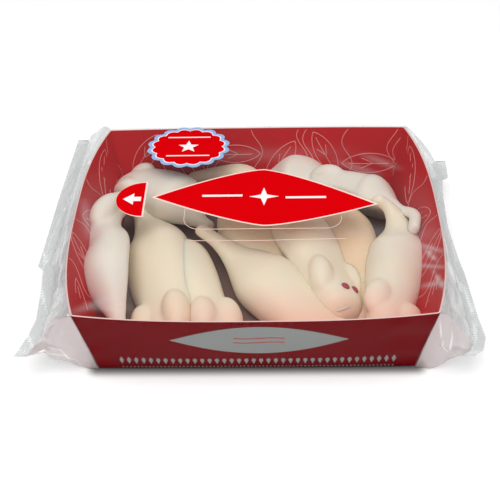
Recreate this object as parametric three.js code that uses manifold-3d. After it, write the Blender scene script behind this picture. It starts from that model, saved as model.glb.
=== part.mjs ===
// A red card tray of giant foam-sugar mice, closed in a clear film flow wrap.
// Millimetres, +Z up. The origin is the middle of the flat base, and the tray's front wall is at -Y.
import * as THREE from "three";
import { mergeVertices } from "three/addons/utils/BufferGeometryUtils.js";
import Module from "manifold-3d";

// Card tray, over the outside of its board. Its walls lean out and bow at the rim.
const tray = {
  width: 240,
  depth: 222,
  height: 59,
  board: 1,
  lean: 10.5,
  sideBow: 13,
  frontBow: 7,
  backBow: 1.5,
  bowFlatness: 2.8, // above 2, the bow is flatter in the middle than a parabola
  bowRise: 0.75, // below 1, the wall bulges soon above its fold
};

// Clear film. Its ends close in a flat seal at half height, whose line runs from front to back.
// droop keeps the lower sheet near the floor before it turns up to the seal.
const film = { thickness: 0.8, gap: 0.3, wallGap: 1.3, sealWidth: 9, sealHeight: 25, droop: 1.4 };
const leftEnd = {
  side: -1,
  node: "film_end_left",
  sealLine: [[-163, -113], [-156, -82], [-157, -10], [-157.5, 70], [-156, 150]],
};
const rightEnd = {
  side: 1,
  node: "film_end_right",
  sealLine: [[150, -115], [157, -92], [152, -30], [148, 30], [156, 110]],
};

// One mouse of a straight length, along its underside from the nose to the tip of its tail.
const mouse = {
  length: 170,
  headWidth: 31,
  headHeight: 21,
  rumpWidth: 42,
  rumpHeight: 30,
  rumpAt: 94,
  rumpSpread: 44,
  neckAt: 54,
  neckSpread: 10,
  neckDip: 0.7,
  taper: [94, 158], // the body starts to narrow at the first and is a thin tail from the second on
  tailWidth: 9,
  tailHeight: 9,
  snoutWidth: 0.8, // share of its width that the head has at the nose
  snoutLength: 40,
  noseRound: 15,
  tipRound: 6,
  belt: 0.36, // height of the widest line, as a share of the mouse's height
  // Exponents of the outline across a mouse: below 1, a side is squarer than an ellipse
  backRound: 0.9,
  bellyRound: 0.6,
  bellyFlat: 0.45,
};
const ear = { at: 26, apart: 21, up: 16, wide: 20, long: 34, high: 21, lean: 0.5 }; // lean: tops lie back
const eye = { at: 17, apart: 9.5, diameter: 6.4, height: 3.4, sunk: 0.6 };
const touchGap = 0.4; // left between two mice that press on each other

// How finely curves are cut into flats
const wallSteps = { across: 8, deep: 8, up: 4 };
const endSteps = 3;
const mouseSteps = { round: 12, along: 17, crowding: 0.6 }; // crowding draws the rings towards both ends
const earSteps = { round: 8, along: 6 };
const eyeSteps = { round: 6, along: 4 };

const traySeat = film.thickness + film.gap;

// Each mouse lies along a line of points on its underside, nose first. up is the way that its back faces.
const flat = [0, 0, 1];
const mice = [
  {
    name: "foam_mouse_face",
    line: [
      [60, -68, 8], [52, -41, 9], [42, -13, 10], [31, 14, 11], [24, 40, 9], [22, 68, 6], [24, 88, 4],
    ],
    up: [0.58, 0, 0.81],
    plump: 1.34,
    earAt: 33,
    earSize: 1,
    eyeAt: 20,
  },
  {
    name: "foam_mouse_front_middle",
    line: [
      [72, -99, 3], [45, -84, 3], [25, -58, 3], [5, -30, 5], [-13, -8, 12], [-31, 7, 22], [-47, 18, 29],
    ],
    up: flat,
    plump: 1.22,
    earAt: 18,
    earSize: 0.75,
  },
  {
    name: "foam_mouse_front_left",
    line: [
      [-61, -101, 3], [-60, -66, 3], [-64, -28, 4], [-70, 0, 5], [-78, 25, 9], [-89, 46, 15],
      [-100, 64, 20],
    ],
    up: [-0.5, 0, 0.87],
    plump: 1.3,
    taper: [110, 160],
    earSize: 1.05,
  },
  {
    name: "foam_mouse_front_right",
    line: [
      [90, -97, 5], [93, -64, 6], [98, -34, 8], [101, -6, 10], [104, 14, 15], [102, 25, 27],
      [96, 31, 37], [87, 33, 42],
    ],
    up: [0.35, 0, 0.94],
    plump: 1.1,
    taper: [104, 158],
    earSize: 0.85,
  },
  {
    name: "foam_mouse_left_wall",
    line: [
      [-94, 52, 28], [-104, 35, 26], [-108, 20, 24], [-107, 7, 23], [-100, -12, 24], [-98, -38, 24],
      [-94, -66, 22], [-88, -99, 20],
    ],
    up: [-0.88, 0, 0.47],
    plump: 1.1,
    earSize: 1,
  },
  {
    name: "foam_mouse_back_left",
    line: [[-104, 86, 2], [-98, 83, 12], [-84, 75, 17], [-68, 63, 16], [-53, 49, 15], [-35, 31, 16]],
    up: flat,
    plump: 1.15,
    earSize: 0.8,
  },
  {
    name: "foam_mouse_back_top",
    line: [[50, 53, 1], [48, 68, 5], [43, 84, 8], [33, 97, 8], [12, 103, 7], [-12, 105, 5]],
    up: flat,
    plump: 1.15,
  },
  {
    name: "foam_mouse_back_right",
    line: [
      [26, 84, 8], [46, 77, 15], [66, 68, 19], [82, 57, 18], [96, 44, 22], [107, 32, 29], [117, 18, 36],
      [116, 2, 34],
    ],
    up: [0.25, 0.85, 0.47],
    plump: 1,
    taper: [84, 138],
    earAt: 36,
    earSize: 0.8,
  },
  {
    name: "foam_mouse_middle",
    line: [
      [38, -76, -10], [18, -26, -5], [1, 16, 4], [-6, 50, 17], [-12, 78, 29], [-32, 90, 26],
      [-58, 95, 17],
    ],
    up: flat,
    plump: 1.34,
    earAt: 26,
    earSize: 0.7,
    eyeAt: 12,
  },
  {
    name: "foam_mouse_between",
    line: [
      [83, -68, -8], [82, -38, -6], [79, -6, -1], [73, 26, 4], [65, 54, 8], [56, 80, 8], [48, 98, 7],
    ],
    up: [-0.6, 0, 0.8],
    plump: 1.2,
    earAt: 24,
    earSize: 0.7,
  },
  {
    name: "foam_mouse_tucked",
    line: [[-29, -101, 3], [-32, -66, 3], [-44, -30, 3], [-57, 4, 3], [-67, 33, 3], [-80, 54, 3]],
    up: [0.38, 0, 0.92],
    plump: 0.94,
    taper: [106, 160],
  },
];

const cardRed = new THREE.MeshStandardMaterial({ color: 0xa3282a, roughness: 0.35, metalness: 0 });
const foamSugar = new THREE.MeshStandardMaterial({ color: 0xe9dfcb, roughness: 0.6, metalness: 0 });
const clearFilm = new THREE.MeshStandardMaterial({
  color: 0xe4e6e8,
  roughness: 0.12,
  metalness: 0,
  transparent: true,
  opacity: 0.25,
});

const wasm = await Module();
wasm.setup();
const group = new THREE.Group();

const mix = (a, b, share) => a + (b - a) * share;
const bell = (x) => Math.exp(-x * x);
const bow = (along) => 1 - Math.abs(along) ** tray.bowFlatness;

// Moves every point of a three.js geometry by place(x, y, z), and makes it a solid.
function solidFrom(geometry, place) {
  const bare = geometry.clone();
  bare.deleteAttribute("normal");
  bare.deleteAttribute("uv");
  const joined = mergeVertices(bare, 1e-4);
  const points = joined.getAttribute("position");
  for (let i = 0; i < points.count; i++) {
    points.setXYZ(i, ...place(points.getX(i), points.getY(i), points.getZ(i)));
  }
  const vertProperties = new Float32Array(points.array);
  const triVerts = new Uint32Array(joined.index.array);
  return new wasm.Manifold(new wasm.Mesh({ numProp: 3, vertProperties, triVerts }));
}

function addNode(name, solid, material) {
  const { vertProperties, triVerts } = solid.getMesh();
  const geometry = new THREE.BufferGeometry();
  geometry.setAttribute("position", new THREE.BufferAttribute(vertProperties, 3));
  geometry.setIndex(new THREE.BufferAttribute(triVerts, 1));
  geometry.computeVertexNormals();
  const mesh = new THREE.Mesh(geometry, material);
  mesh.name = name;
  group.add(mesh);
}

// A point of the tray's outline: across and deep run from -1 to 1, and up from 0 at the base to 1 at the rim.
function outlinePoint(across, deep, up, moreAcross = 0, moreDeep = 0) {
  const inset = tray.lean * (1 - up);
  const rise = up ** tray.bowRise;
  const endBow = deep < 0 ? tray.frontBow : tray.backBow;
  const x = tray.width / 2 - inset + moreAcross + tray.sideBow * rise * bow(deep);
  const y = tray.depth / 2 - inset + moreDeep + endBow * rise * bow(across);
  return [across * x, deep * y];
}

// The block inside the outline, moved out by more[0] across, more[1] deep, more[2] down and more[3] up.
function trayBlock(more) {
  const [moreAcross, moreDeep, moreDown, moreUp] = more;
  const block = new THREE.BoxGeometry(2, 2, 2, wallSteps.across, wallSteps.deep, wallSteps.up);
  return solidFrom(block, (across, deep, level) => {
    const outline = outlinePoint(across, deep, (level + 1) / 2, moreAcross, moreDeep);
    return [...outline, rowHeight(level, moreDown, moreUp)];
  });
}

// The lowest and the highest row of a block are moved. The rows between stay level with the tray's.
function rowHeight(level, moreDown, moreUp) {
  const height = traySeat + (tray.height * (level + 1)) / 2;
  if (level === -1) return height - moreDown;
  return level === 1 ? height + moreUp : height;
}

function addTray() {
  const { board } = tray;
  const outside = trayBlock([0, 0, 0, 0]);
  const inside = trayBlock([-board, -board, -board, board]);
  addNode("card_tray", outside.subtract(inside), cardRed);
}

// The film round the tray's top, front, bottom and back, open towards its two ends
function addSleeve() {
  const { thickness, gap } = film;
  const reach = thickness + gap;
  const outside = trayBlock([0, reach, reach, reach]);
  const inside = trayBlock([reach, gap, gap, gap]);
  addNode("film_sleeve", outside.subtract(inside), clearFilm);
}

// An end of the film, from the tray's side wall out to the flat seal. Its front and back fold at half height.
function addFilmEnd({ side, node, sealLine }) {
  const { thickness, gap, wallGap, sealWidth, sealHeight, droop } = film;
  const line = new THREE.SplineCurve(sealLine.map(([x, y]) => new THREE.Vector2(x, y)));
  const fold = tray.height / (tray.depth + tray.height); // share of the seal taken by a folded face
  const reach = thickness + gap;
  const rootAt = 1 - 2 / endSteps; // where the slope meets the seal

  const block = new THREE.BoxGeometry(2, 2, 2, endSteps, wallSteps.deep, wallSteps.up);
  const solid = solidFrom(block, (x, deep, level) => {
    const out = side * x; // -1 on the wall, 1 at the edge of the seal
    const wall = outlinePoint(side, deep, (level + 1) / 2, wallGap, reach);
    const wallZ = rowHeight(level, traySeat, reach);
    const along = deep * (1 - fold * Math.abs(level));
    const seal = line.getPoint((along + 1) / 2);
    const root = [seal.x - side * sealWidth, seal.y, sealHeight + (level * thickness) / 2];
    if (out === 1) return [seal.x, seal.y, root[2]];
    const share = (out + 1) / (rootAt + 1);
    const lift = share ** (1 + droop * Math.max(0, -level));
    return [mix(wall[0], root[0], share), mix(wall[1], root[1], share), mix(wallZ, root[2], lift)];
  });
  addNode(node, solid, clearFilm);
}

// Half width and height of a mouse at a distance from its nose
function mouseSection(at, taper = mouse.taper) {
  const rump = bell((at - mouse.rumpAt) / mouse.rumpSpread);
  const neck = mouse.neckDip * bell((at - mouse.neckAt) / mouse.neckSpread);
  const tail = THREE.MathUtils.smoothstep(at, ...taper);
  const fromNose = Math.min(at / mouse.noseRound, 1);
  const fromTip = Math.min((mouse.length - at) / mouse.tipRound, 1);
  const ends = Math.sqrt(1 - (1 - fromNose) ** 2) * Math.sqrt(1 - (1 - fromTip) ** 2);
  const snout = mix(mouse.snoutWidth, 1, THREE.MathUtils.smoothstep(at, 0, mouse.snoutLength));
  const bodyWidth = snout * mix(mouse.headWidth, mouse.rumpWidth, rump) - 2 * neck;
  const bodyHeight = mix(mouse.headHeight, mouse.rumpHeight, rump) - neck;
  return {
    half: (ends * mix(bodyWidth, mouse.tailWidth, tail)) / 2,
    height: ends * mix(bodyHeight, mouse.tailHeight, tail),
  };
}

// One mouse along its line, grown by more on every side
function mouseSolid(one, more = 0) {
  const { line, up, plump, taper, earAt = ear.at, earSize = 1, eyeAt = eye.at } = one;
  const spine = new THREE.CatmullRomCurve3(line.map((point) => new THREE.Vector3(...point)));
  const upward = new THREE.Vector3(...up).normalize();

  // A point of the mouse: at is along it, aside to its side and above its underside.
  const placed = (at, aside, above) => {
    const share = THREE.MathUtils.clamp(at / mouse.length, 0, 1);
    const along = spine.getTangentAt(share);
    const sideways = new THREE.Vector3().crossVectors(along, upward).normalize();
    const back = new THREE.Vector3().crossVectors(sideways, along);
    const spot = spine.getPointAt(share);
    spot.addScaledVector(along, at - share * mouse.length);
    spot.addScaledVector(sideways, aside).addScaledVector(back, above);
    return spot.toArray();
  };

  const rings = new THREE.SphereGeometry(1, mouseSteps.round, mouseSteps.along);
  const body = solidFrom(rings, (x, y, z) => {
    const turn = Math.acos(-y) / Math.PI;
    const crowded = (mouseSteps.crowding * Math.sin(2 * Math.PI * turn)) / (2 * Math.PI);
    const at = mouse.length * (turn - crowded);
    const { half, height } = mouseSection(at, taper);
    const ring = Math.hypot(x, z) || 1;
    const beside = x / ring;
    const above = z / ring;
    const middle = mouse.belt * height;
    const round = above < 0 ? mouse.bellyRound : mouse.backRound;
    const lift = above < 0 ? -middle * Math.abs(above) ** mouse.bellyFlat : (height - middle) * above;
    const aside = Math.sign(beside) * plump * half * Math.abs(beside) ** round;
    return placed(at + more * Math.sign(y) * y * y, aside + more * beside, middle + lift + more * above);
  });

  // An egg of the three sizes in box, which its own x runs across
  const egg = (steps, box, at, aside, above, lean = 0) => {
    const ball = new THREE.SphereGeometry(0.5, steps.round, steps.along);
    const [wide, long, high] = box;
    return solidFrom(ball, (x, y, z) => {
      return placed(at + y * long + lean * (z + 0.5) * high, aside + x * wide, above + z * high);
    });
  };
  const earBox = [ear.wide, ear.long, ear.high].map((size) => earSize * size + 2 * more);
  const eyeBox = [eye.diameter, eye.diameter, eye.height].map((size) => size + 2 * more);
  const headTop = mouseSection(eyeAt).height;
  const drop = 1 - Math.cos(Math.asin(eye.apart / mouse.headWidth));
  const eyeUp = headTop * (1 - (1 - mouse.belt) * drop) - eye.sunk;

  let whole = body;
  for (const hand of [-1, 1]) {
    whole = whole.add(egg(earSteps, earBox, earAt, (hand * ear.apart * plump) / 2, ear.up, ear.lean));
    whole = whole.add(egg(eyeSteps, eyeBox, eyeAt, (hand * eye.apart) / 2, eyeUp));
  }
  return whole;
}

// Soft mice press on each other and on the card, so each one is cut back by those already laid.
function addMice() {
  const { board } = tray;
  const clear = -board - touchGap;
  const room = trayBlock([clear, clear, clear, 0]);
  const laid = [];
  for (const one of mice) {
    let solid = mouseSolid(one).intersect(room);
    for (const grown of laid) solid = solid.subtract(grown);
    const pieces = solid.decompose().sort((a, b) => b.volume() - a.volume());
    addNode(one.name, pieces[0], foamSugar);
    laid.push(mouseSolid(one, touchGap));
  }
}

addTray();
addMice();
addSleeve();
addFilmEnd(leftEnd);
addFilmEnd(rightEnd);

export default group;
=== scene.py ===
import math

import bmesh
import bpy
import numpy as np
from mathutils import Matrix, Vector


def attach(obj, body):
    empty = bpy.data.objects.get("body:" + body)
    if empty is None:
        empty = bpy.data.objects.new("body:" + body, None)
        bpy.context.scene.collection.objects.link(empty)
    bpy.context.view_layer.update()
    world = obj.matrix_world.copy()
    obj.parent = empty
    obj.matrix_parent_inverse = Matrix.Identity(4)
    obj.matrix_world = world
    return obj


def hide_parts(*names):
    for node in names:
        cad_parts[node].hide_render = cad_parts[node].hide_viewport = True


# A red card tray of giant foam-sugar mice in a clear flow wrap.
# Sizes are in millimetres, +Z is up and the front wall is at -Y.
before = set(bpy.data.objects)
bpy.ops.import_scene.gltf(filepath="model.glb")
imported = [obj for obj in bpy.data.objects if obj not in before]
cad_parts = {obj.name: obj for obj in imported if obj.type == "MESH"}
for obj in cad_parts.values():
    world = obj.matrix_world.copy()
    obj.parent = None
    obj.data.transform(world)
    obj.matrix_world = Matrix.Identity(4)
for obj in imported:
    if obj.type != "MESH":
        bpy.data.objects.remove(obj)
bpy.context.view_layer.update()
print("frame loaded:", len(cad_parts), "nodes")

millimetre = 0.001
scene = bpy.context.scene
scene.view_settings.view_transform = "Standard"


def linear(hexColour):
    # sRGB hex to the linear colour that Blender's sockets take
    channels = [int(hexColour[i : i + 2], 16) / 255 for i in (1, 3, 5)]
    return tuple(c / 12.92 if c <= 0.04045 else ((c + 0.055) / 1.055) ** 2.4 for c in channels) + (1.0,)


def addNode(tree, kind, links=None, **settings):
    # links: an input's name or number, and the value or the output socket that goes in
    node = tree.nodes.new(kind)
    for key, value in settings.items():
        setattr(node, key, value)
    for key, value in (links or {}).items():
        if isinstance(value, bpy.types.NodeSocket):
            tree.links.new(value, node.inputs[key])
        else:
            node.inputs[key].default_value = value
    return node


def newMaterial(name):
    material = bpy.data.materials.new(name)
    material.use_nodes = True
    material.node_tree.nodes.clear()
    return material, material.node_tree


def meshObject(name, points, faces, materials, faceMaterials=None, smooth=True):
    # points in millimetres
    mesh = bpy.data.meshes.new(name)
    mesh.from_pydata([tuple(p) for p in np.asarray(points, float) * millimetre], [], faces)
    for material in materials:
        mesh.materials.append(material)
    if faceMaterials is not None:
        mesh.polygons.foreach_set("material_index", faceMaterials)
    mesh.polygons.foreach_set("use_smooth", [smooth] * len(mesh.polygons))
    mesh.update()
    made = bpy.data.objects.new(name, mesh)
    scene.collection.objects.link(made)
    return made


def bake(made):
    # The object's modifiers become plain mesh
    graph = bpy.context.evaluated_depsgraph_get()
    mesh = bpy.data.meshes.new_from_object(made.evaluated_get(graph), depsgraph=graph)
    old = made.data
    made.modifiers.clear()
    made.data = mesh
    bpy.data.meshes.remove(old)
    return made


def addValues(made, label, values):
    # One value for each corner of the mesh, for a material to read
    layer = made.data.attributes.new(label, "FLOAT", "POINT")
    layer.data.foreach_set("value", values)


def joinInto(main, others):
    # One piece out of several; material slots are matched by name
    bpy.ops.object.select_all(action="DESELECT")
    for part in [main, *others]:
        part.select_set(True)
    bpy.context.view_layer.objects.active = main
    bpy.ops.object.join()
    return main


foam = {
    "white": "#e9e2d7",
    "cream": "#f1e3c8",
    # the amber tone is painted shade, for mice that lie low in shadow
    "shadeAmber": "#e3b58b",
    "patch": 45,  # size of the patches that are a little warmer or whiter
    "patchShare": 0.5,
    "grain": 1.6,
    "grainDepth": 0.2,
    "lightDepth": 5,  # how deep red light goes; green and blue go less deep
    # The next colours and numbers are painted red bounce light from the front wall: a pink tint of the base
    # colour and a faint red emission
    "glow": "#f2ac94",
    "paintedBounceLight": "#ff7a60",
    "paintedBounceStrength": 0.1,
    "paintedBounceStart": -48,  # Y where the painted red bounce light of the front wall starts, and where it is full
    "paintedBounceFull": -104,
    "paintedBounceMost": 0.9,
    "paintedBounceLeft": -45,  # X up to which the painted bounce light is weakest; from the middle on it is full
    "paintedBounceLeast": 0.4,
}


def foamSugarMaterial():
    # Whipped foam sugar set in a starch mould: matt satin cream.
    # Light sinks in a few millimetres and comes out warm.
    material, tree = newMaterial("whippedFoamSugar")
    place = addNode(tree, "ShaderNodeTexCoord").outputs["Object"]
    patchScale = 1 / (foam["patch"] * millimetre)
    clouds = addNode(tree, "ShaderNodeTexNoise", {"Vector": place, "Scale": patchScale, "Detail": 2.0})
    # The attribute cream is 0 where the foam is white, 1 where it is cream and 2 where it is amber; the amber
    # is painted shade for mice that lie low in shadow
    cream = addNode(tree, "ShaderNodeAttribute", attribute_name="cream").outputs["Fac"]
    drift = addNode(
        tree,
        "ShaderNodeMath",
        {0: clouds.outputs["Fac"], 1: foam["patchShare"], 2: -foam["patchShare"] / 2},
        operation="MULTIPLY_ADD",
    )
    warmth = addNode(tree, "ShaderNodeMath", {0: cream, 1: drift.outputs[0]}, operation="ADD", use_clamp=True)
    creamy = addNode(
        tree,
        "ShaderNodeMix",
        {0: warmth.outputs[0], 6: linear(foam["white"]), 7: linear(foam["cream"])},
        data_type="RGBA",
    )
    shadeAmber = addNode(tree, "ShaderNodeMath", {0: cream, 1: 1.0}, operation="SUBTRACT", use_clamp=True)
    tone = addNode(
        tree,
        "ShaderNodeMix",
        {0: shadeAmber.outputs[0], 6: creamy.outputs[2], 7: linear(foam["shadeAmber"])},
        data_type="RGBA",
    )
    # Painted red bounce light: close to the front wall the base colour turns pink and the foam glows red,
    # less on the left
    apart = addNode(tree, "ShaderNodeSeparateXYZ", {"Vector": place})
    nearFrontBounce = addNode(
        tree,
        "ShaderNodeMapRange",
        {
            "Value": apart.outputs["Y"],
            "From Min": foam["paintedBounceStart"] * millimetre,
            "From Max": foam["paintedBounceFull"] * millimetre,
            "To Max": foam["paintedBounceMost"],
        },
    )
    bounceRightward = addNode(
        tree,
        "ShaderNodeMapRange",
        {
            "Value": apart.outputs["X"],
            "From Min": foam["paintedBounceLeft"] * millimetre,
            "From Max": 0.0,
            "To Min": foam["paintedBounceLeast"],
        },
    )
    glow = addNode(
        tree, "ShaderNodeMath", {0: nearFrontBounce.outputs[0], 1: bounceRightward.outputs[0]}, operation="MULTIPLY"
    )
    bounceTinted = addNode(
        tree,
        "ShaderNodeMix",
        {0: glow.outputs[0], 6: tone.outputs[2], 7: linear(foam["glow"])},
        data_type="RGBA",
    )
    bounceEmission = addNode(
        tree,
        "ShaderNodeMix",
        {0: glow.outputs[0], 6: linear("#000000"), 7: linear(foam["paintedBounceLight"])},
        data_type="RGBA",
    )
    grainScale = 1 / (foam["grain"] * millimetre)
    grain = addNode(tree, "ShaderNodeTexNoise", {"Vector": place, "Scale": grainScale, "Detail": 3.0})
    relief = addNode(
        tree,
        "ShaderNodeBump",
        {"Height": grain.outputs["Fac"], "Strength": 0.12, "Distance": foam["grainDepth"] * millimetre},
    )
    surface = addNode(
        tree,
        "ShaderNodeBsdfPrincipled",
        {
            "Base Color": bounceTinted.outputs[2],
            "Roughness": 0.48,
            "IOR": 1.45,
            "Subsurface Weight": 0.5,
            "Subsurface Radius": (1.0, 0.62, 0.42),
            "Subsurface Scale": foam["lightDepth"] * millimetre,
            "Emission Color": bounceEmission.outputs[2],
            "Emission Strength": foam["paintedBounceStrength"],
            "Normal": relief.outputs["Normal"],
        },
    )
    addNode(tree, "ShaderNodeOutputMaterial", {"Surface": surface.outputs[0]})
    return material


patchOfTone = 30  # size of the patches on card, ink and icing, whose two tones differ a little


def plainMaterial(name, colour, roughness, grainSize, grainDepth, other, shine=0.5):
    # A printed or cast surface whose tone and relief vary by a fine noise of grainSize millimetres
    material, tree = newMaterial(name)
    place = addNode(tree, "ShaderNodeTexCoord").outputs["Object"]
    grain = addNode(
        tree, "ShaderNodeTexNoise", {"Vector": place, "Scale": 1 / (grainSize * millimetre), "Detail": 3.0}
    )
    patchScale = 1 / (patchOfTone * millimetre)
    clouds = addNode(tree, "ShaderNodeTexNoise", {"Vector": place, "Scale": patchScale, "Detail": 2.0})
    tone = addNode(
        tree,
        "ShaderNodeMix",
        {0: clouds.outputs["Fac"], 6: linear(colour), 7: linear(other)},
        data_type="RGBA",
    )
    relief = addNode(
        tree,
        "ShaderNodeBump",
        {"Height": grain.outputs["Fac"], "Strength": 0.3, "Distance": grainDepth * millimetre},
    )
    surface = addNode(
        tree,
        "ShaderNodeBsdfPrincipled",
        {
            "Base Color": tone.outputs[2],
            "Roughness": roughness,
            "Specular IOR Level": shine,
            "Normal": relief.outputs["Normal"],
        },
    )
    addNode(tree, "ShaderNodeOutputMaterial", {"Surface": surface.outputs[0]})
    return material


clearLook = {
    "clear": "#f7f8f8",
    "milk": "#d9dbdb",
    "reflectedRedMilk": "#b88f8d",
    "milkRoughness": 0.35,
    "gloss": 0.1,
    "ripple": 12,
    "rippleDepth": 0.6,
    "grazing": (5.0, 0.35),  # power and strength of the reflection at grazing angles
    "glint": (0.3, 0.002),  # reflection for each share of haze, and on taut film
}


def filmMaterial():
    # Oriented polypropylene film: clear where it is taut, milky and glinting where it is creased.
    # The attribute haze holds how milky it is, with painted highlights in it, and a second attribute holds
    # how much painted red reflection of the card beside it the film shows.
    look = clearLook
    material, tree = newMaterial("clearPolypropyleneFilm")
    place = addNode(tree, "ShaderNodeTexCoord").outputs["Object"]
    haze = addNode(tree, "ShaderNodeAttribute", attribute_name="haze").outputs["Fac"]
    redReflection = addNode(tree, "ShaderNodeAttribute", attribute_name="redReflection").outputs["Fac"]
    ripples = addNode(
        tree,
        "ShaderNodeTexNoise",
        {"Vector": place, "Scale": 1 / (look["ripple"] * millimetre), "Detail": 2.0, "Distortion": 0.6},
    )
    relief = addNode(
        tree,
        "ShaderNodeBump",
        {"Height": ripples.outputs["Fac"], "Strength": 0.25, "Distance": look["rippleDepth"] * millimetre},
    )
    milk = addNode(
        tree,
        "ShaderNodeMix",
        {0: redReflection, 6: linear(look["milk"]), 7: linear(look["reflectedRedMilk"])},
        data_type="RGBA",
    )
    clear = addNode(tree, "ShaderNodeBsdfTransparent", {"Color": linear(look["clear"])})
    cloudy = addNode(
        tree, "ShaderNodeBsdfPrincipled", {"Base Color": milk.outputs[2], "Roughness": look["milkRoughness"]}
    )
    gloss = addNode(
        tree,
        "ShaderNodeBsdfAnisotropic",
        {"Color": linear("#ffffff"), "Roughness": look["gloss"], "Normal": relief.outputs["Normal"]},
    )
    facing = addNode(tree, "ShaderNodeLayerWeight", {"Blend": 0.5, "Normal": relief.outputs["Normal"]})
    power, strength = look["grazing"]
    grazing = addNode(tree, "ShaderNodeMath", {0: facing.outputs["Facing"], 1: power}, operation="POWER")
    perHaze, taut = look["glint"]
    crease = addNode(tree, "ShaderNodeMath", {0: haze, 1: perHaze, 2: taut}, operation="MULTIPLY_ADD")
    shine = addNode(
        tree,
        "ShaderNodeMath",
        {0: grazing.outputs[0], 1: strength, 2: crease.outputs[0]},
        operation="MULTIPLY_ADD",
    )
    body = addNode(tree, "ShaderNodeMixShader", {0: haze, 1: clear.outputs[0], 2: cloudy.outputs[0]})
    sheet = addNode(
        tree, "ShaderNodeMixShader", {0: shine.outputs[0], 1: body.outputs[0], 2: gloss.outputs[0]}
    )
    addNode(tree, "ShaderNodeOutputMaterial", {"Surface": sheet.outputs[0]})
    return material


foamSugar = foamSugarMaterial()
eyeIcing = plainMaterial("pinkSugarIcing", "#a33a4a", 0.35, 0.8, 0.02, "#ad4553", shine=0.3)
printedCard = plainMaterial("varnishedFoldingCard", "#c71a22", 0.4, 0.5, 0.03, "#bd161e", shine=0.02)
# The outer faces take a darker copy of the card's red: painted shade of the outward-leaning walls
shadedOuterCard = plainMaterial("shadedFoldingCardOutside", "#75040c", 0.4, 0.5, 0.03, "#70030b", shine=0.0)
bareBoard = plainMaterial("bareGreyBoard", "#8a6f66", 0.8, 0.6, 0.05, "#7f655d", shine=0.1)
cutCard = plainMaterial("cutCardEdge", "#ecc9c4", 0.75, 0.3, 0.05, "#e2bab4")
lineInk = plainMaterial("palePinkInk", "#e59a95", 0.5, 0.4, 0.01, "#dd908b")
greyInk = plainMaterial("greyInk", "#969896", 0.42, 0.5, 0.02, "#8f918f", shine=0.02)
labelRed = plainMaterial("redFilmInk", "#d8020a", 0.6, 0.6, 0.01, "#d2020a", shine=0.0)
labelPale = plainMaterial("palePinkFilmInk", "#fbdcd2", 0.35, 0.6, 0.01, "#f8d6cb")
labelBlue = plainMaterial("paleBlueFilmInk", "#93b6e6", 0.35, 0.6, 0.01, "#8db0e0")
labelWhite = plainMaterial("whiteFilmInk", "#fbf6f5", 0.35, 0.6, 0.01, "#f6efee")
clearFilm = filmMaterial()
print("materials made")


tray = {
    "width": 240,
    "depth": 222,
    "height": 59,
    "board": 1.0,
    "seat": 1.1,  # the film under the tray
    "lean": 10.5,
    "sideBow": 13,
    "frontBow": 7,
    "backBow": 1.5,
    "bowFlatness": 2.8,
    "bowRise": 0.75,
    "cornerRound": 1.6,
    "innerCornerRound": 0.96,
    "stepsAcross": 48,
    "stepsUp": 22,
    "sharpAngle": 35,
}


def bow(along):
    return 1 - np.abs(along) ** tray["bowFlatness"]


def heightAt(up):
    # up runs from 0 at the base to 1 at the rim
    return tray["seat"] + tray["height"] * up


def outlinePoint(across, deep, up, moreAcross=0.0, moreDeep=0.0):
    # across and deep run from -1 to 1
    across, deep, up = np.broadcast_arrays(*(np.asarray(v, float) for v in (across, deep, up)))
    inset = tray["lean"] * (1 - up)
    rise = np.maximum(up, 0) ** tray["bowRise"]
    endBow = np.where(deep < 0, tray["frontBow"], tray["backBow"])
    x = tray["width"] / 2 - inset + moreAcross + tray["sideBow"] * rise * bow(deep)
    y = tray["depth"] / 2 - inset + moreDeep + endBow * rise * bow(across)
    return np.stack([across * x, deep * y], -1)


def ringAround(up, more=0.0, cornerRound=tray["cornerRound"]):
    # The outline at one height, anticlockwise from the front left corner, with rounded corners
    steps = tray["stepsAcross"]
    nearX, nearY = 1 - cornerRound / (tray["width"] / 2), 1 - cornerRound / (tray["depth"] / 2)
    alongX, alongY = np.linspace(-nearX, nearX, steps), np.linspace(-nearY, nearY, steps)
    sides = [
        (alongX, -1.0, (1, -1)),
        (1.0, alongY, (1, 1)),
        (alongX[::-1], 1.0, (-1, 1)),
        (-1.0, alongY[::-1], (-1, -1)),
    ]
    runs = [outlinePoint(a, d, up, more, more) for a, d, _ in sides]
    ring = []
    for i, (run, (_, _, corner)) in enumerate(zip(runs, sides)):
        ring.extend(run)
        tip, after = outlinePoint(*corner, up, more, more), runs[(i + 1) % 4][0]
        for t in (0.25, 0.5, 0.75):
            ring.append((1 - t) ** 2 * run[-1] + 2 * t * (1 - t) * tip + t**2 * after)
    return np.array(ring)


def stackedRings(rings, heights):
    return np.concatenate([np.column_stack([ring, np.full(len(ring), z)]) for ring, z in zip(rings, heights)])


def bandFaces(count, first, second):
    # Quads between two rings of count points, facing out where the second ring lies above the first
    return [(first + i, first + (i + 1) % count, second + (i + 1) % count, second + i) for i in range(count)]


def tubeFaces(count, rows):
    # Rings of count points, one after another, closed at both ends
    faces = [tuple(reversed(range(count)))]
    for row in range(rows - 1):
        faces += bandFaces(count, row * count, (row + 1) * count)
    faces.append(tuple((rows - 1) * count + i for i in range(count)))
    return faces


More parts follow.
